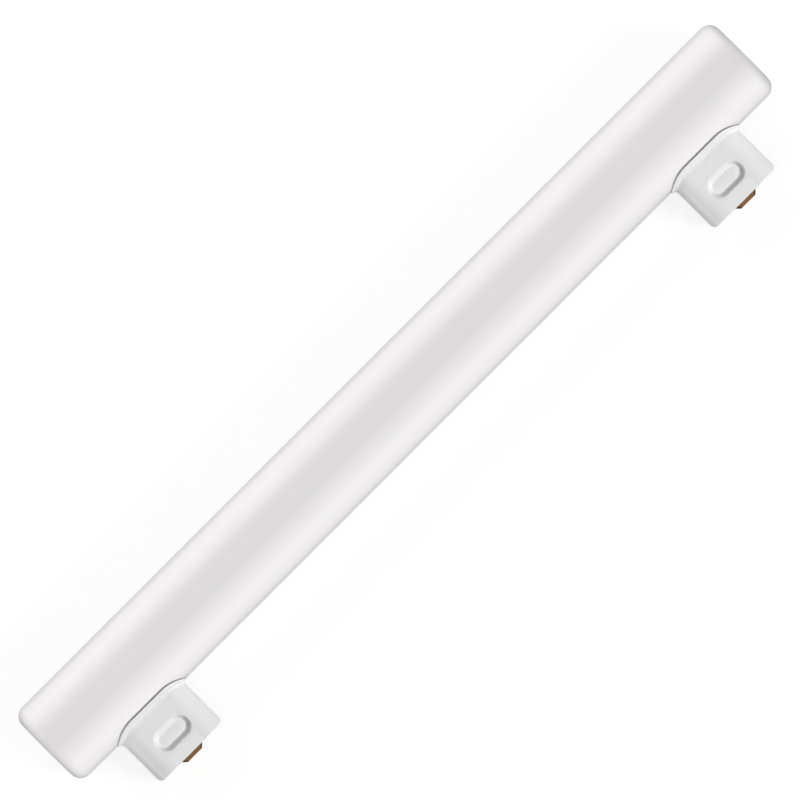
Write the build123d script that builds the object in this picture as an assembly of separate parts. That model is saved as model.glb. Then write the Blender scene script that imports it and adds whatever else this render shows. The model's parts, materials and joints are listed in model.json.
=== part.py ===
from build123d import *
import os
from math import asin, atan2, degrees, hypot, radians, tan

# Tubular lamp with two side caps, lying at rest on its tube and on the edges of its caps.
# Millimetres, +Z up. The tube runs along X, the caps point to -Y and dip to the table.

# Tube
tube_length = 300.0
tube_diameter = 29.0
tube_end_radius = 3.9

# Cap body: a hollow moulding, longer along the tube than across it
cap_inset = 30.8
cap_length = 26.6
cap_width = 14.0
cap_height = 17.25
cap_end_flat = 2.0
cap_wall = 1.5
foot_wall = 2.0
foot_end_radius = 1.8
foot_edge_chamfer = 0.2

# Saddle flange: a thin plate bent wider than the tube, so that its rim stands off, with a flare below it
flange_margin_along = 1.4
flange_margin_across = 2.2
flange_end_flat = 2.4
flange_thickness = 0.3
saddle_ease = 1.5
saddle_gap = 0.1
flare_size = 0.9

# Recess in each flank for the holder's spring: a dish with sloped walls, round at both ends
recess_rise = 8.3
recess_run = 5.8
recess_height = 5.8
recess_depth = 1.7
recess_wall_run = 1.8

# Shallow lead-in below each recess, where the spring slides up
lead_in_width = 11.8
lead_in_height = 3.8
lead_in_depth = 0.3

# Contact: a flat-topped head with sloped ends, and a stem through the cap's foot
contact_length = 8.7
contact_width = 4.6
contact_height = 1.3
contact_end_slope = 45.0
contact_corner_chamfer = 0.5
contact_edge_radius = 0.3
stem_length = 5.0
stem_width = 1.6
stem_tail = 3.0
stem_clearance = 0.05

# Worked out from the sizes above, measured from the tube's axis
tube_radius = tube_diameter / 2
cap_spacing = tube_length - 2 * cap_inset
saddle_radius = tube_radius + saddle_ease
saddle_level = saddle_ease - saddle_gap
flange_length = cap_length + 2 * flange_margin_along
flange_width = cap_width + 2 * flange_margin_across
foot_level = -(tube_radius + cap_height)
recess_level = foot_level + recess_rise
recess_mouth = recess_height + recess_wall_run
recess_floor = recess_height - recess_wall_run

# Angle by which the caps dip below level when tube and cap edges touch the table
edge_reach = -foot_level - foot_edge_chamfer
edge_half_width = cap_width / 2
touch_angle = asin(tube_radius / hypot(edge_reach, edge_half_width))
cap_dip = degrees(touch_angle - atan2(edge_half_width, edge_reach))


def make_tube():
    """The closed opal tube: its half outline, with rounded shoulders, turned about X."""
    outline = Rectangle(tube_length, tube_radius, align=(Align.CENTER, Align.MIN))
    shoulders = outline.vertices().group_by(Axis.Y)[-1]
    return revolve(fillet(shoulders, tube_end_radius), Axis.X)


def upright_prism(length, width, end_flat, bottom):
    """A rounded rectangle in plan, whose ends keep a short flat, from bottom up to the tube's axis."""
    plan = RectangleRounded(length, width, (width - end_flat) / 2)
    return Pos(0, 0, bottom) * extrude(plan, -bottom)


def bore(radius, level=0.0):
    """A cylinder along the tube, with its axis at a level above the tube's, longer than the flange."""
    return Pos(0, 0, level) * Rot(Y=90) * Cylinder(radius, 2 * flange_length)


def cap_body():
    """The cap's outside without its flange, seated on the tube."""
    prism = upright_prism(cap_length, cap_width, cap_end_flat, foot_level)
    foot_edges = prism.faces().sort_by(Axis.Z)[0].edges()
    prism = chamfer(foot_edges, foot_edge_chamfer)
    side = Rectangle(cap_length, -foot_level, align=(Align.CENTER, Align.MAX))
    foot_corners = side.vertices().group_by(Axis.Y)[0]
    side = fillet(foot_corners, foot_end_radius)
    rounded_ends = extrude(Rot(X=90) * side, cap_width, both=True)
    return (prism & rounded_ends) - bore(tube_radius)


def saddle_flange():
    """A thin plate of even thickness, bent round the tube's underside and just clear of it."""
    plan = upright_prism(flange_length, flange_width, flange_end_flat, foot_level)
    outside = bore(saddle_radius + flange_thickness, saddle_level)
    return plan & (outside - bore(saddle_radius, saddle_level))


def flared_body():
    """Body and flange joined by a sloped flare that runs all the way round."""
    body = cap_body()
    flange = saddle_flange()
    joined = body + flange
    seams = new_edges(body, flange, combined=joined)
    plate_middle = saddle_radius + flange_thickness / 2
    outer_seams = []
    for seam in seams:
        middle = seam @ 0.5
        if hypot(middle.Y, middle.Z - saddle_level) > plate_middle:
            outer_seams.append(seam)
    return chamfer(outer_seams, flare_size)


def recess_tool():
    """The dish in the +Y flank: half its section turned at each end and drawn out between them."""
    half_section = make_face(
        Polyline(
            (0, -recess_depth),
            (recess_floor / 2, -recess_depth),
            (recess_mouth / 2, 0),
            (recess_mouth / 2, recess_depth),
            (0, recess_depth),
            close=True,
        )
    )
    round_end = revolve(half_section, Axis.Y)
    trough = extrude(half_section + mirror(half_section, Plane.YZ), recess_run / 2, both=True)
    dish = trough + Pos(0, 0, recess_run / 2) * round_end + Pos(0, 0, -recess_run / 2) * round_end
    return Pos(0, cap_width / 2, recess_level) * Rot(Y=90) * dish


def lead_in_tool():
    """A shallow wedge at the +Y flank's lower edge, deepest at the foot."""
    flank = cap_width / 2
    top = foot_level + lead_in_height
    wedge = make_face(
        Polyline(
            (flank, top),
            (flank - lead_in_depth, foot_level),
            (flank + lead_in_depth, foot_level),
            (flank + lead_in_depth, top),
            close=True,
        )
    )
    return extrude(Plane.YZ * wedge, lead_in_width / 2, both=True)


def cavity_tool():
    """The hollow inside the cap, which leaves a full wall behind each recess."""
    inner_length = cap_length - 2 * cap_wall
    inner_width = cap_width - 2 * cap_wall
    hollow = upright_prism(inner_length, inner_width, cap_end_flat, foot_level + foot_wall)
    outline = SlotCenterToCenter(recess_run, recess_mouth)
    backing = extrude(Plane.XZ * outline, recess_depth, both=True)
    for flank in (-inner_width / 2, inner_width / 2):
        hollow -= Pos(0, flank, recess_level) * backing
    return hollow


def make_cap():
    """One moulded cap, alike from both flanks and both ends."""
    cap = flared_body()
    for flank_turn in (0, 180):
        cap -= Rot(Z=flank_turn) * recess_tool()
        cap -= Rot(Z=flank_turn) * lead_in_tool()
    cap -= cavity_tool()
    slot = Box(stem_length + 2 * stem_clearance, stem_width + 2 * stem_clearance, 2 * foot_wall)
    return cap - Pos(0, 0, foot_level + foot_wall) * slot


def make_contact():
    """One contact: the head sits on the cap's foot, the stem goes through it."""
    tip_level = foot_level - contact_height
    tip_half_length = contact_length / 2 - contact_height / tan(radians(contact_end_slope))
    side = make_face(
        Polyline(
            (-contact_length / 2, foot_level),
            (contact_length / 2, foot_level),
            (tip_half_length, tip_level),
            (-tip_half_length, tip_level),
            close=True,
        )
    )
    head = extrude(Plane.XZ * side, contact_width / 2, both=True)
    level_edges = head.edges().filter_by(Axis.X) + head.edges().filter_by(Axis.Y)
    head = chamfer(head.edges() - level_edges, contact_corner_chamfer)
    tip_edges = head.faces().sort_by(Axis.Z)[0].edges().filter_by(Axis.X)
    head = fillet(tip_edges, contact_edge_radius)
    stem_base = Align.CENTER, Align.CENTER, Align.MIN
    stem = Box(stem_length, stem_width, foot_wall + stem_tail, align=stem_base)
    return head + Pos(0, 0, foot_level) * stem


cap = make_cap()
contact = make_contact()
left = Pos(-cap_spacing / 2, 0, 0)
right = Pos(cap_spacing / 2, 0, 0)
upright_pieces = {
    "tube": make_tube(),
    "left_cap": left * cap,
    "right_cap": right * cap,
    "left_contact": left * contact,
    "right_contact": right * contact,
}

# Laid down on the table, with the origin under the middle of the lamp's outline
lie_down = Rot(X=cap_dip - 90)
lying_pieces = {name: lie_down * piece for name, piece in upright_pieces.items()}
outline_box = Compound(list(lying_pieces.values())).bounding_box()
to_table = Pos(-outline_box.center().X, -outline_box.center().Y, -outline_box.min.Z)

os.makedirs("parts", exist_ok=True)
for name, piece in lying_pieces.items():
    export_step(to_table * piece, f"parts/{name}.step")
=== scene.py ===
"""A straight opal tube lamp that lies on a pale floor, with its two side caps and their contacts."""
import json
from math import cos, pi, radians, sin, tan

import bmesh
import bpy
import numpy as np
from mathutils import Matrix, Vector


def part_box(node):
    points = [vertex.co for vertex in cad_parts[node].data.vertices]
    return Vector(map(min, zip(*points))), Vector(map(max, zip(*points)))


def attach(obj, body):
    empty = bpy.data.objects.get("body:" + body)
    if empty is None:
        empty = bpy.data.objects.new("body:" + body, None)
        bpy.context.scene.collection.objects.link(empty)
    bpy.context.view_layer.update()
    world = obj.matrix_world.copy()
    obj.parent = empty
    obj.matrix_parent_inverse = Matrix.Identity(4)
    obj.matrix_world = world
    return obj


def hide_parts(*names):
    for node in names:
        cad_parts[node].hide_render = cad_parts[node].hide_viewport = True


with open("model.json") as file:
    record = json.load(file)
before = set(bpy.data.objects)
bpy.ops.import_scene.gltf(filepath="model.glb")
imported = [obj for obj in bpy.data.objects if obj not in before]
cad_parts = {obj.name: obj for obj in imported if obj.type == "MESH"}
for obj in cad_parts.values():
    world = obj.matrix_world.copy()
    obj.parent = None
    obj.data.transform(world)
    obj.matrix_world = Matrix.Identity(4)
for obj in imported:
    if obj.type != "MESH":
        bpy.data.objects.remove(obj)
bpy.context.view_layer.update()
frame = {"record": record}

# Sizes of the lamp in millimetres, the recess's slope in degrees, and the contact's rounding at its ends as
# a share of that along its sides. Recess, flare, lip and neck differ a little from those of the solids.
tube_diameter = 29.0
tube_end_radius = 3.9
cap_length = 26.6
cap_width = 14.0
cap_height = 17.25
cap_end_flat = 2.0
foot_end_radius = 1.8
foot_edge_radius = 0.2
flange_margin_along = 1.4
flange_margin_across = 2.2
flange_end_flat = 2.4
flange_thickness = 0.3
flange_lip_at_flanks = 0.75
saddle_ease = 1.5
saddle_gap = 0.1
seat_gap = 0.02
flare_radius_at_ends = 1.35
flare_radius_at_flanks = 0.25
neck_depth = 0.5
neck_height = 2.8
recess_rise = 8.3
recess_run = 6.1
recess_height = 5.9
recess_depth = 1.7
recess_wall_slope = 58.0
recess_wall_round = 0.7
recess_crown = 0.2
lead_in_width = 11.8
lead_in_height = 3.8
lead_in_depth = 0.3
contact_length = 8.7
contact_width = 4.6
contact_height = 1.3
contact_edge_radius = 0.3
contact_corner_radius = 0.6
contact_end_rounding_share = 0.4
contact_sunk = 0.3

# Rows and columns of the grids, and the angle in degrees past which an edge is shaded sharp
tube_columns = 256
tube_face_rows = 8
tube_shoulder_rows = 28
tube_side_rows = 64
flank_columns = 96
corner_columns = 26
end_columns = 6
saddle_rows = 6
flange_rows = 8
rim_rows = 9
flare_rows = 14
wall_rows_above_recess = 22
wall_rows_at_recess = 68
wall_rows_below_recess = 18
foot_rows = 28
contact_base_rows = 2
contact_side_rows = 8
contact_edge_rows = 8
contact_tip_rows = 6
sharp_edge_angle = 35.0

# Satin opal plastic. In all finishes noise scales are per metre, and the depths of bumps are in millimetres.
opal_shade = (0.86, 0.845, 0.85, 1.0)
opal_light = (0.90, 0.885, 0.89, 1.0)
opal_cloud_scale = 45.0
opal_cloud_detail = 3.0
opal_cloud_share = 0.6
opal_streak_stretch = (6.0, 700.0, 700.0)
opal_streak_share = 0.4
opal_frost_scale = 2600.0
opal_frost_strength = 0.15
opal_frost_depth = 0.03
opal_roughness = 0.55
opal_roughness_spread = 0.12
opal_specular = 0.35
opal_coat_roughness = 0.4
opal_coat_tint = 0.84
opal_coat_ior = 1.03
plastic_ior = 1.5

# White moulded plastic of the caps
cap_shade = 0.76
cap_light = 0.80
cap_flow_scale = 160.0
cap_flow_detail = 3.0
cap_grain_scale = 3200.0
cap_grain_detail = 3.0
cap_grain_strength = 0.25
cap_grain_depth = 0.02
cap_roughness = 0.44
cap_roughness_spread = 0.10

# Dull brass of the contacts, with painted shade on its sloped ends, whose extent is in millimetres
brass_dark = (0.12, 0.055, 0.02, 1.0)
brass_bright = (0.31, 0.17, 0.075, 1.0)
# The dark colour of the painted shade on the contacts' sloped ends
brass_painted_shade = (0.05, 0.035, 0.02, 1.0)
tarnish_scale = 900.0
tarnish_detail = 4.0
tarnish_share = 0.8
drawn_line_stretch = (300.0, 9000.0, 9000.0)
drawn_line_share = 0.2
drawn_line_strength = 0.3
drawn_line_depth = 0.02
# Where the painted shade on the sloped ends fades out, how ragged its edge is, and the ends' roughness
end_shade_from = 0.4
end_shade_to = 0.9
end_shade_raggedness = 0.3
sloped_end_roughness = 0.58
face_smoother_by = 0.2
tarnish_roughness_spread = 0.2

# Lights: turn from the view towards the caps and towards the right end in degrees, size in metres, power in
# watts, and the pieces that each one lights beside the floor
lights = {
    "tube_behind_low": {"to_caps": -86.0, "to_end": 0.0, "size": (10.6, 1.0), "power": 362.0, "lit": "tube"},
    "tube_behind": {"to_caps": -63.0, "to_end": 0.0, "size": (10.6, 2.6), "power": 208.0, "lit": "tube"},
    "tube_before_low": {"to_caps": 70.0, "to_end": 0.0, "size": (10.6, 0.8), "power": 462.0, "lit": "tube"},
    "tube_front": {"to_caps": 0.0, "to_end": 0.0, "size": (5.4, 5.4), "power": 107.0, "lit": "tube"},
    "tube_right": {"to_caps": 0.0, "to_end": 87.0, "size": (0.8, 0.4), "power": 49.0, "lit": "tube"},
    "tube_left": {"to_caps": 0.0, "to_end": -60.0, "size": (2.6, 5.4), "power": 53.0, "lit": "tube"},
    "caps_key": {"to_caps": 39.0, "to_end": 25.0, "size": (2.0, 2.0), "power": 292.0, "lit": "caps"},
    "caps_front": {"to_caps": 0.0, "to_end": 0.0, "size": (5.4, 5.4), "power": 92.0, "lit": "caps"},
    "caps_left": {"to_caps": 0.0, "to_end": -88.6, "size": (0.6, 0.1), "power": 80.0, "lit": "caps"},
}
light_distance = 6.0
world_grey = 0.12

# Floor: its size in metres, the grey that it sends back, and how its white is made up where it is seen
floor_size = 40.0
floor_bounce = 0.4
floor_lit = 0.15
floor_glow = 0.82

# The photograph's view: straight at the caps' flanks, with the tube across the picture's diagonal. All in
# millimetres, apart from the reach in metres.
picture_width = 243.7
picture_shift_along = 1.43
picture_shift_to_caps = 0.72
camera_lens = 1600.0
camera_sensor = 36.0
camera_reach = 100.0

MILLIMETRE = 0.001
MERGE_DISTANCE = 1e-7
NOISE_MIDDLE = 0.5

# The Mix node's sockets for colours, which share their names with those for numbers and vectors
MIX_FACTOR = 0
MIX_FIRST = 6
MIX_SECOND = 7
MIX_COLOUR = 2

# Worked out from the sizes above, in millimetres from the tube's axis
tube_radius = tube_diameter / 2
saddle_radius = tube_radius + saddle_ease
saddle_level = saddle_ease - saddle_gap
flange_radius = saddle_radius + flange_thickness
cap_half_length = cap_length / 2
cap_half_width = cap_width / 2
cap_corner = (cap_width - cap_end_flat) / 2
flange_half_length = cap_half_length + flange_margin_along
flange_half_width = cap_half_width + flange_margin_across
flange_corner = (cap_width + 2 * flange_margin_across - flange_end_flat) / 2
foot_distance = tube_radius + cap_height
foot_level = -foot_distance
recess_level = foot_level + recess_rise
wall_slope = radians(recess_wall_slope)
recess_straight = (recess_depth / 2 - recess_wall_round * (1 - cos(wall_slope))) / tan(wall_slope)
recess_half_run = recess_straight + recess_wall_round * sin(wall_slope)
recess_mouth = recess_height / 2 + recess_half_run
recess_floor = recess_height / 2 - recess_half_run

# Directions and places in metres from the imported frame, and the tube's half length in millimetres
mounts = {mount["name"]: mount for mount in frame["record"]["mounts"]}
tube_low, tube_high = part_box("tube")
tube_half_length = (tube_high.x - tube_low.x) / 2 / MILLIMETRE
tube_direction = np.array([1.0, 0.0, 0.0])
cap_direction = np.array(mounts["left_cap_plug"]["axis"])
cap_direction = cap_direction / np.linalg.norm(cap_direction)
flank_direction = np.cross(tube_direction, -cap_direction)
lamp_axes = np.array([tube_direction, -flank_direction, -cap_direction])


def axis_point(mount_name):
    """The point of the tube's axis right behind a cap's foot, in metres: the foot's place less its distance
    from the axis along the cap's direction."""
    return np.array(mounts[mount_name]["pos_m"]) - cap_direction * foot_distance * MILLIMETRE


left_origin = axis_point("left_cap_plug")
right_origin = axis_point("right_cap_plug")
tube_origin = (left_origin + right_origin) / 2


def in_place(x, y, z, origin):
    """Grid points from millimetres to metres in the frame. They count along the tube, across the cap and
    away from its foot, each times that axis of the lamp, from an origin on the tube's axis."""
    points = np.stack(np.broadcast_arrays(x, y, z), axis=-1)
    return points @ lamp_axes * MILLIMETRE + origin


def ring_piece(name, rings):
    """A closed skin over a grid of rings: each quad joins two rings and two columns, and the last column
    joins the first. Points that fall together at poles and along spines are merged."""
    rows, columns = rings.shape[:2]
    index = np.arange(rows * columns).reshape(rows, columns)
    following = np.roll(index, -1, axis=1)
    quads = np.stack([index[:-1], index[1:], following[1:], following[:-1]], axis=-1)
    mesh = bpy.data.meshes.new(name)
    mesh.from_pydata(rings.reshape(-1, 3).tolist(), [], quads.reshape(-1, 4).tolist())
    skin = bmesh.new()
    skin.from_mesh(mesh)
    bmesh.ops.remove_doubles(skin, verts=skin.verts, dist=MERGE_DISTANCE)
    skin.to_mesh(mesh)
    skin.free()
    mesh.shade_smooth()
    mesh.set_sharp_from_angle(angle=radians(sharp_edge_angle))
    piece = bpy.data.objects.new(name, mesh)
    bpy.context.scene.collection.objects.link(piece)
    return piece


def tube_rings():
    """The tube: a half outline of flat end, quarter-round shoulder and straight side, turned about the
    axis. A ring at distance x along the tube has radius r, and its points lie at (x, r cos a, r sin a)."""
    straight = tube_half_length - tube_end_radius
    turn = np.linspace(pi / 2, 0, tube_shoulder_rows)
    face_radius = np.linspace(0, tube_radius - tube_end_radius, tube_face_rows)[:-1]
    shoulder_x = straight + tube_end_radius * np.sin(turn)
    shoulder_radius = tube_radius - tube_end_radius + tube_end_radius * np.cos(turn)
    side_x = np.linspace(straight, -straight, tube_side_rows)[1:-1]
    x = np.concatenate([
        np.full_like(face_radius, tube_half_length),
        shoulder_x,
        side_x,
        -shoulder_x[::-1],
        np.full_like(face_radius, -tube_half_length),
    ])
    radius = np.concatenate([
        face_radius,
        shoulder_radius,
        np.full_like(side_x, tube_radius),
        shoulder_radius[::-1],
        face_radius[::-1],
    ])
    angle = np.linspace(0, 2 * pi, tube_columns, endpoint=False)
    y = radius[:, None] * np.cos(angle)
    z = radius[:, None] * np.sin(angle)
    return in_place(x[:, None], y, z, tube_origin)


def loop_columns():
    """One turn round a rounded rectangle, starting at the flank that faces the camera. For each column:
    where its corner centre lies, as a share of the straight halves, and its outward direction."""
    along = np.linspace(-1, 1, flank_columns, endpoint=False)
    across = np.linspace(-1, 1, end_columns, endpoint=False)
    quarter = np.linspace(0, pi / 2, corner_columns, endpoint=False)
    flank = np.ones(flank_columns)
    corner = np.ones(corner_columns)
    end = np.ones(end_columns)
    share_x = np.concatenate([along, corner, end, corner, -along, -corner, -end, -corner])
    share_y = np.concatenate([-flank, -corner, across, corner, flank, corner, -across, -corner])
    turn = np.concatenate([
        -pi / 2 * flank,
        quarter - pi / 2,
        0 * end,
        quarter,
        pi / 2 * flank,
        quarter + pi / 2,
        pi * end,
        quarter + pi,
    ])
    return share_x, share_y, np.cos(turn), np.sin(turn)


share_x, share_y, out_x, out_y = loop_columns()


def outline(half_length, half_width, corner):
    """A rounded rectangle: each column's corner centre plus the corner radius along its direction."""
    x = share_x * (half_length - corner) + corner * out_x
    y = share_y * (half_width - corner) + corner * out_y
    return x, y


def shrunk_outline(half_length, half_width, corner, share):
    """The same outline drawn in towards its middle line: a share of 1 is whole, and 0 is that line."""
    spine = half_length - half_width
    return outline(spine + half_width * share, half_width * share, corner * share)


def on_cylinder(y, radius, level=0.0):
    """Height of the underside of a cylinder along the tube: its axis level less the root of radius
    squared less y squared."""
    return level - np.sqrt(radius ** 2 - y ** 2)


def recess_depth_at(x, z):
    """Depth of the spring recess: a dish over the distance to a short line along the tube. Outside the
    middle of its wall the depth is a straight slope and then an arc up to the mouth, and inside it is the
    same turned over. The floor is crowned: it rises towards its middle by one less the square of the
    distance over the floor's half."""
    beyond = np.maximum(np.abs(x) - recess_run / 2, 0)
    distance = np.hypot(beyond, z - recess_level)
    from_middle = distance - recess_height / 2
    away = np.minimum(np.abs(from_middle), recess_half_run)
    slope = recess_depth / 2 - away * tan(wall_slope)
    from_rim = recess_half_run - away
    arc = recess_wall_round - np.sqrt(np.maximum(recess_wall_round ** 2 - from_rim ** 2, 0))
    upper = np.where(away < recess_straight, slope, arc)
    crown = recess_crown * np.maximum(1 - (distance / recess_floor) ** 2, 0)
    return np.where(from_middle > 0, upper, recess_depth - upper - crown)


def sunk_flanks(x, y, z):
    """Presses the recess and the lead-in into both flanks: no point stands out further than the flank
    less the deeper of the two there. The lead-in deepens evenly from its top to the foot."""
    lead_in = lead_in_depth * np.clip((foot_level + lead_in_height - z) / lead_in_height, 0, 1)
    lead_in = np.where(np.abs(x) < lead_in_width / 2, lead_in, 0)
    limit = cap_half_width - np.maximum(recess_depth_at(x, z), lead_in)
    return np.clip(y, -limit, limit)


def foot_height(x):
    """Height of the foot: flat, with a quarter round up to each end."""
    beyond = np.clip(np.abs(x) - (cap_half_length - foot_end_radius), 0, foot_end_radius)
    return foot_level + foot_end_radius - np.sqrt(foot_end_radius ** 2 - beyond ** 2)


# Outlines of a cap's body and of its flange, and the step from the one to the other in each column
body_x, body_y = outline(cap_half_length, cap_half_width, cap_corner)
rim_x, rim_y = outline(flange_half_length, flange_half_width, flange_corner)
margin = np.hypot(rim_x - body_x, rim_y - body_y)
step_x = (rim_x - body_x) / margin
step_y = (rim_y - body_y) / margin

# What changes round a cap, from its ends to its flanks: the foot's edge by the size of the outward direction
# across it, and the rest by the square of that
flank_share = out_y ** 2
lip = flange_thickness + (flange_lip_at_flanks - flange_thickness) * flank_share
flare = flare_radius_at_ends + (flare_radius_at_flanks - flare_radius_at_ends) * flank_share
neck = neck_depth * flank_share
foot_edge = foot_edge_radius * np.abs(out_y)

# Where the flange's outer face would meet the wall, and where the flare between them starts and ends
meeting_height = on_cylinder(body_y, flange_radius, saddle_level)
flange_slope = np.arctan2(body_y * step_y, saddle_level - meeting_height)
flare_start = flare * (1 - np.sin(flange_slope))
flare_drop = flare * np.tan((pi / 2 - flange_slope) / 2)
wall_top = meeting_height - flare_drop


def on_saddle(offset, radius):
    """A ring of the flange: the body's outline moved out by an offset, on a cylinder about the saddle."""
    x = body_x + step_x * offset
    y = body_y + step_y * offset
    return x, y, on_cylinder(y, radius, saddle_level)


def cap_seat():
    """The seat: the body's outline, filled from its middle line, on a cylinder just off the tube."""
    share = np.linspace(0, 1, saddle_rows)[:, None]
    x, y = shrunk_outline(cap_half_length, cap_half_width, cap_corner, share)
    return x, y, on_cylinder(y, tube_radius + seat_gap)


def cap_flange():
    """The flange in three blocks: its underside, its half-round rim, and its outer face, which thins from
    the lip's thickness at the rim to the plate's at the flare."""
    rim_round = lip / 2
    rim_start = margin - rim_round
    share = np.linspace(0, 1, flange_rows)[:, None]
    underside = on_saddle(rim_start * share, saddle_radius)
    turn = np.linspace(0, pi, rim_rows)[1:-1, None]
    rim_middle = saddle_radius + rim_round
    rim = on_saddle(rim_start + rim_round * np.sin(turn), rim_middle - rim_round * np.cos(turn))
    outer_radius = flange_radius + (lip - flange_thickness) * (1 - share)
    outer_face = on_saddle(rim_start + (flare_start - rim_start) * share, outer_radius)
    return underside, rim, outer_face


def cap_flare():
    """The flare: an arc that touches the sloping flange and the upright wall, drawn in by the neck's depth
    as it comes down. What its start misses of the curved flange is added to its height, less and less down
    to the wall."""
    share = np.linspace(0, 1, flare_rows)[1:, None]
    turn = pi / 2 + flange_slope + (pi / 2 - flange_slope) * share
    offset = flare * (1 + np.cos(turn)) - neck * share
    height = meeting_height - flare_drop + flare * np.sin(turn)
    start_height = meeting_height - flare_drop + flare * np.cos(flange_slope)
    start_y = body_y + step_y * flare_start
    bend = on_cylinder(start_y, flange_radius, saddle_level) - start_height
    return body_x + step_x * offset, body_y + step_y * offset, height + bend * (1 - share)


def cap_wall():
    """The wall: the body's outline carried down to the foot, with close rows at the recess. The neck draws
    it in below the flare by the square of what is left of its height, and recess and lead-in are pressed
    into its flanks."""
    wall_bottom = foot_height(body_x) + foot_edge
    recess_top = recess_level + recess_mouth
    recess_bottom = recess_level - recess_mouth
    above = np.linspace(0, 1, wall_rows_above_recess)[1:, None]
    at_recess = np.linspace(recess_top, recess_bottom, wall_rows_at_recess)[1:, None]
    below = np.linspace(0, 1, wall_rows_below_recess)[1:, None]
    z = np.concatenate([
        wall_top + (recess_top - wall_top) * above,
        at_recess + 0 * wall_top,
        recess_bottom + (wall_bottom - recess_bottom) * below,
    ])
    neck_now = neck * np.maximum(1 - (wall_top - z) / neck_height, 0) ** 2
    x = body_x - step_x * neck_now
    y = body_y - step_y * neck_now
    return x, sunk_flanks(x, y, z), z


def cap_foot():
    """The foot: the outline drawn in to its middle line, past a small rounded edge whose height is that of
    a quarter round."""
    share = np.cos(np.linspace(0, pi / 2, foot_rows))[1:, None]
    x, y = shrunk_outline(cap_half_length, cap_half_width, cap_corner, share)
    short_of_edge = np.clip(foot_edge - cap_half_width * (1 - share), 0, None)
    z = foot_height(x) + foot_edge - np.sqrt(foot_edge ** 2 - np.minimum(short_of_edge, foot_edge) ** 2)
    return x, sunk_flanks(x, y, z), z


def cap_rings(origin):
    """A cap as one stack of rings, from its seat on the tube over the flange's rim, down the flare and the
    wall, to the foot: each ring is an outline carried to its own height."""
    blocks = [cap_seat(), *cap_flange(), cap_flare(), cap_wall(), cap_foot()]
    return np.concatenate([in_place(*block, origin) for block in blocks])


def contact_rings(origin):
    """A contact's head: rings of a rounded rectangle whose ends slope in at 45 degrees, as far as they
    rise, with a quarter-round tip edge that is weaker at the ends."""
    side_height = contact_height - contact_edge_radius
    side = np.linspace(-contact_sunk, side_height, contact_side_rows)
    turn = np.linspace(0, pi / 2, contact_edge_rows)[1:]
    height = np.concatenate([side, side_height + contact_edge_radius * np.sin(turn)])
    drawn_in = np.concatenate([0 * side, contact_edge_radius * (1 - np.cos(turn))])
    half_length = contact_length / 2 - np.maximum(height, 0) - contact_end_rounding_share * drawn_in
    half_width = contact_width / 2 - drawn_in
    base_share = np.linspace(0, 1, contact_base_rows, endpoint=False)[:, None]
    tip_share = np.linspace(1, 0, contact_tip_rows)[1:, None]
    base_x, base_y = shrunk_outline(half_length[0], half_width[0], contact_corner_radius, base_share)
    side_x, side_y = outline(half_length[:, None], half_width[:, None], contact_corner_radius)
    tip_x, tip_y = shrunk_outline(half_length[-1], half_width[-1], contact_corner_radius, tip_share)
    x = np.concatenate([base_x, side_x, tip_x])
    y = np.concatenate([base_y, side_y, tip_y])
    level = np.concatenate([
        np.full(len(base_share), -contact_sunk),
        height,
        np.full(len(tip_share), contact_height),
    ])
    return in_place(x, y, foot_level - level[:, None], origin)


class Wire:
    """An output socket of a node. Arithmetic with a wire that carries a number adds Math nodes."""

    def __init__(self, nodes, socket):
        self.nodes = nodes
        self.socket = socket

    def math(self, operation, first, second):
        return self.nodes.add("ShaderNodeMath", {"operation": operation}, {0: first, 1: second})

    def __add__(self, other):
        return self.math("ADD", self, other)

    def __radd__(self, other):
        return self.math("ADD", other, self)

    def __sub__(self, other):
        return self.math("SUBTRACT", self, other)

    def __rsub__(self, other):
        return self.math("SUBTRACT", other, self)

    def __mul__(self, other):
        return self.math("MULTIPLY", self, other)

    def __rmul__(self, other):
        return self.math("MULTIPLY", other, self)

    def __abs__(self):
        return self.nodes.add("ShaderNodeMath", {"operation": "ABSOLUTE"}, {0: self})

    def larger(self, other):
        return self.math("MAXIMUM", self, other)


class Nodes:
    """The nodes of a material or of the world, empty at first."""

    def __init__(self, owner):
        owner.use_nodes = True
        self.tree = owner.node_tree
        self.tree.nodes.clear()

    def add(self, kind, settings=None, inputs=None, output=0):
        """Adds a node of a kind, sets its settings first, then its sockets, and returns one of its outputs
        as a wire, if it has any."""
        node = self.tree.nodes.new(kind)
        for setting, value in (settings or {}).items():
            setattr(node, setting, value)
        for socket, value in (inputs or {}).items():
            if isinstance(value, Wire):
                self.tree.links.new(value.socket, node.inputs[socket])
            else:
                node.inputs[socket].default_value = value
        if node.outputs:
            return Wire(self, node.outputs[output])


def grey(value):
    """A neutral colour of one brightness."""
    return (value, value, value, 1.0)


def object_noise(nodes, scale=1.0, stretch=(1.0, 1.0, 1.0), detail=2.0):
    """Noise on the piece's own coordinates, about 0.5 on average; stretch sets its grain along each axis."""
    coordinates = nodes.add("ShaderNodeTexCoord", output="Object")
    placed = nodes.add("ShaderNodeMapping", inputs={"Vector": coordinates, "Scale": stretch})
    return nodes.add("ShaderNodeTexNoise", inputs={"Vector": placed, "Scale": scale, "Detail": detail})


def mixed_colour(nodes, factor, first, second):
    """A colour between two, by a factor from 0 to 1."""
    settings = {"data_type": "RGBA", "clamp_factor": True}
    inputs = {MIX_FACTOR: factor, MIX_FIRST: first, MIX_SECOND: second}
    return nodes.add("ShaderNodeMix", settings, inputs, output=MIX_COLOUR)


def bumped(nodes, height, strength, depth):
    """A normal that a pattern raises and sinks, by a depth in millimetres."""
    inputs = {"Strength": strength, "Distance": depth * MILLIMETRE, "Height": height}
    return nodes.add("ShaderNodeBump", inputs=inputs)


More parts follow.
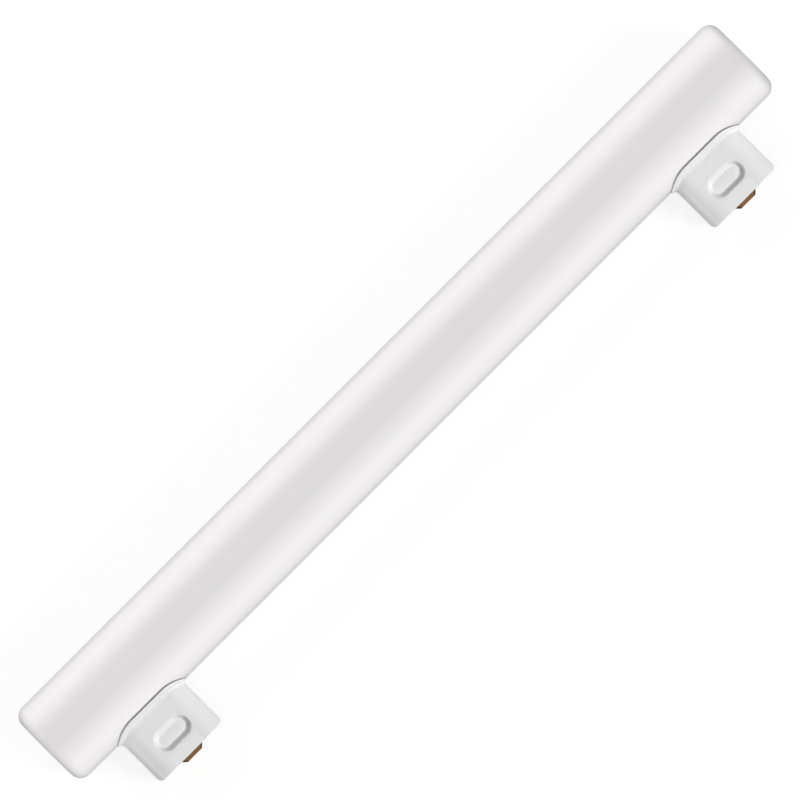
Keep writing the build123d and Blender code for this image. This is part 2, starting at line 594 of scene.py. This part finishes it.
def finish_material(nodes, sockets):
    """Ends the nodes in one Principled shader with these sockets."""
    shader = nodes.add("ShaderNodeBsdfPrincipled", inputs=sockets)
    nodes.add("ShaderNodeOutputMaterial", inputs={"Surface": shader})


def opal_plastic(nodes):
    """Satin opal plastic: faint cloudy mottling, long drawing streaks in the sheen and a fine frosted
    skin."""
    clouds = object_noise(nodes, opal_cloud_scale, detail=opal_cloud_detail)
    streaks = object_noise(nodes, stretch=opal_streak_stretch)
    frost = object_noise(nodes, opal_frost_scale)
    mottling = clouds * opal_cloud_share + streaks * opal_streak_share
    finish_material(nodes, {
        "Base Color": mixed_colour(nodes, mottling, opal_shade, opal_light),
        "Roughness": opal_roughness + (streaks - NOISE_MIDDLE) * opal_roughness_spread,
        "Normal": bumped(nodes, frost, opal_frost_strength, opal_frost_depth),
        "IOR": plastic_ior,
        "Specular IOR Level": opal_specular,
        "Coat Weight": 1.0,
        "Coat IOR": opal_coat_ior,
        "Coat Roughness": opal_coat_roughness,
        "Coat Tint": grey(opal_coat_tint),
    })


def cap_plastic(nodes):
    """White moulded plastic: a fine spark-eroded grain and slight shifts of tone where the melt flowed."""
    flow = object_noise(nodes, cap_flow_scale, detail=cap_flow_detail)
    grain = object_noise(nodes, cap_grain_scale, detail=cap_grain_detail)
    finish_material(nodes, {
        "Base Color": mixed_colour(nodes, flow, grey(cap_shade), grey(cap_light)),
        "Roughness": cap_roughness + (flow - NOISE_MIDDLE) * cap_roughness_spread,
        "Normal": bumped(nodes, grain, cap_grain_strength, cap_grain_depth),
        "IOR": plastic_ior,
    })


def distance_along(nodes, direction):
    """How far a point of a piece lies along a direction, in metres from the frame's origin."""
    coordinates = nodes.add("ShaderNodeTexCoord", output="Object")
    inputs = {0: coordinates, 1: tuple(direction)}
    return nodes.add("ShaderNodeVectorMath", {"operation": "DOT_PRODUCT"}, inputs, output="Value")


def from_sloped_end(nodes):
    """How far a point of a contact lies from the contact's nearer sloped end, in metres along the tube:
    half its length less the distance from its middle, less the height above the foot by which the end
    slopes in. It places the painted shade on those ends."""
    contact_middle = float((right_origin - left_origin) @ tube_direction) / 2
    foot = float(tube_origin @ cap_direction) + foot_distance * MILLIMETRE
    from_tube_middle = abs(distance_along(nodes, tube_direction) - float(tube_origin @ tube_direction))
    from_contact_middle = abs(from_tube_middle - contact_middle)
    height = distance_along(nodes, cap_direction) - foot
    return contact_length / 2 * MILLIMETRE - from_contact_middle - height


def contact_brass(nodes):
    """Dull pressed brass: brown tarnish in patches over brighter metal, fine drawing lines along it, and
    painted shade that darkens its sloped ends."""
    tarnish = object_noise(nodes, tarnish_scale, detail=tarnish_detail)
    lines = object_noise(nodes, stretch=drawn_line_stretch)
    ragged = (tarnish - NOISE_MIDDLE) * (end_shade_raggedness * MILLIMETRE)
    # The face mask: 0 on the sloped ends, which get painted shade, and 1 on the face
    face = nodes.add("ShaderNodeMapRange", {"interpolation_type": "SMOOTHSTEP"}, {
        "Value": from_sloped_end(nodes) + ragged,
        "From Min": end_shade_from * MILLIMETRE,
        "From Max": end_shade_to * MILLIMETRE,
    })
    patches = tarnish * tarnish_share + lines * drawn_line_share
    metal = mixed_colour(nodes, patches, brass_dark, brass_bright)
    roughness = sloped_end_roughness - face * face_smoother_by
    finish_material(nodes, {
        # Painted shade: the sloped ends are darkened in the base colour
        "Base Color": mixed_colour(nodes, face, brass_painted_shade, metal),
        "Metallic": 1.0,
        "Roughness": roughness + (tarnish - NOISE_MIDDLE) * tarnish_roughness_spread,
        "Normal": bumped(nodes, lines, drawn_line_strength, drawn_line_depth),
    })


def floor_white(nodes):
    """Seen directly or in a gloss the floor is white with the lamp's soft shadow; other light that it sends
    back is that of a plain grey floor."""
    plain = nodes.add("ShaderNodeBsdfDiffuse", inputs={"Color": grey(floor_bounce)})
    lit = nodes.add("ShaderNodeBsdfDiffuse", inputs={"Color": grey(floor_lit)})
    glow = nodes.add("ShaderNodeEmission", inputs={"Color": grey(1.0), "Strength": floor_glow})
    seen = nodes.add("ShaderNodeAddShader", inputs={0: lit, 1: glow})
    camera_ray = nodes.add("ShaderNodeLightPath", output="Is Camera Ray")
    glossy_ray = nodes.add("ShaderNodeLightPath", output="Is Glossy Ray")
    clear_ray = nodes.add("ShaderNodeLightPath", output="Is Transmission Ray")
    shown = camera_ray.larger(glossy_ray).larger(clear_ray)
    surface = nodes.add("ShaderNodeMixShader", inputs={0: shown, 1: plain, 2: seen})
    nodes.add("ShaderNodeOutputMaterial", inputs={"Surface": surface})


def new_material(name, make_finish):
    """A material whose nodes a function for its finish adds."""
    material = bpy.data.materials.new(name)
    make_finish(Nodes(material))
    return material


finishes = {
    "opal_plastic": new_material("opal_plastic", opal_plastic),
    "cap_plastic": new_material("cap_plastic", cap_plastic),
    "contact_brass": new_material("contact_brass", contact_brass),
}
groups = {lit: bpy.data.collections.new("lit_" + lit) for lit in ("tube", "caps")}


def add_piece(node, rings, slot, lit):
    """A finished piece that stands for a node, rides with the lamp and has the finish of a material slot."""
    piece = ring_piece(node + "_skin", rings)
    groups[lit].objects.link(piece)
    piece.data.materials.append(finishes[slot])
    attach(piece, "root")
    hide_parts(node)


def add_floor():
    """A wide pale floor: one square about the origin, half its size each way."""
    corners = np.array([(-1, -1, 0), (1, -1, 0), (1, 1, 0), (-1, 1, 0)]) * floor_size / 2
    mesh = bpy.data.meshes.new("floor")
    mesh.from_pydata(corners.tolist(), [], [(0, 1, 2, 3)])
    mesh.materials.append(new_material("floor_white", floor_white))
    floor = bpy.data.objects.new("floor", mesh)
    bpy.context.scene.collection.objects.link(floor)
    for group in groups.values():
        group.objects.link(floor)


def add_world():
    """A dim even grey all round."""
    world = bpy.data.worlds.new("studio")
    nodes = Nodes(world)
    background = nodes.add("ShaderNodeBackground", inputs={"Color": grey(world_grey)})
    nodes.add("ShaderNodeOutputWorld", inputs={"Surface": background})
    bpy.context.scene.world = world


def add_turned(name, data, right, up, back, place):
    """An object whose own axes lie along three directions, at a place."""
    turned = Matrix((right, up, back)).transposed().to_4x4()
    turned.translation = place
    added = bpy.data.objects.new(name, data)
    added.matrix_world = turned
    bpy.context.scene.collection.objects.link(added)
    return added


def add_camera():
    """A long lens that looks straight at the caps' flanks from far off, turned so that the tube climbs to the
    right at 45 degrees."""
    camera = bpy.data.cameras.new("camera")
    camera.lens = camera_lens
    camera.sensor_width = camera_sensor
    camera.clip_end = camera_reach
    distance = picture_width * MILLIMETRE * camera_lens / camera_sensor
    along = Vector(tube_direction)
    to_caps = Vector(cap_direction)
    back = Vector(flank_direction)
    aim = Vector(tube_origin)
    aim += (along * picture_shift_along + to_caps * picture_shift_to_caps) * MILLIMETRE
    right = (along + to_caps).normalized()
    up = (along - to_caps).normalized()
    bpy.context.scene.camera = add_turned("camera", camera, right, up, back, aim + back * distance)


def add_light(name, to_caps, to_end, size, power, lit):
    """A soft rectangle at a distance from the lamp, turned to face it. Its first side runs along the tube, or
    the way the caps point where it stands towards an end. It lights one group of pieces, and the floor."""
    along = Vector(tube_direction)
    back = Vector(flank_direction)
    aside = Vector(cap_direction)
    outward = back * cos(radians(to_caps)) + aside * sin(radians(to_caps))
    outward = outward * cos(radians(to_end)) + along * sin(radians(to_end))
    across = along if to_end == 0 else aside
    side = (across - outward * across.dot(outward)).normalized()
    area = bpy.data.lights.new(name, "AREA")
    area.shape = "RECTANGLE"
    area.size, area.size_y = size
    area.energy = power
    place = Vector(tube_origin) + outward * light_distance
    light = add_turned(name, area, side, outward.cross(side), outward, place)
    light.visible_camera = False
    light.light_linking.receiver_collection = groups[lit]


add_piece("tube", tube_rings(), "opal_plastic", "tube")
for side, origin in (("left", left_origin), ("right", right_origin)):
    add_piece(side + "_cap", cap_rings(origin), "cap_plastic", "caps")
    add_piece(side + "_contact", contact_rings(origin), "contact_brass", "caps")

add_floor()
add_world()
add_camera()
for light_name, light in lights.items():
    add_light(light_name, **light)
bpy.context.scene.view_settings.view_transform = "Standard"
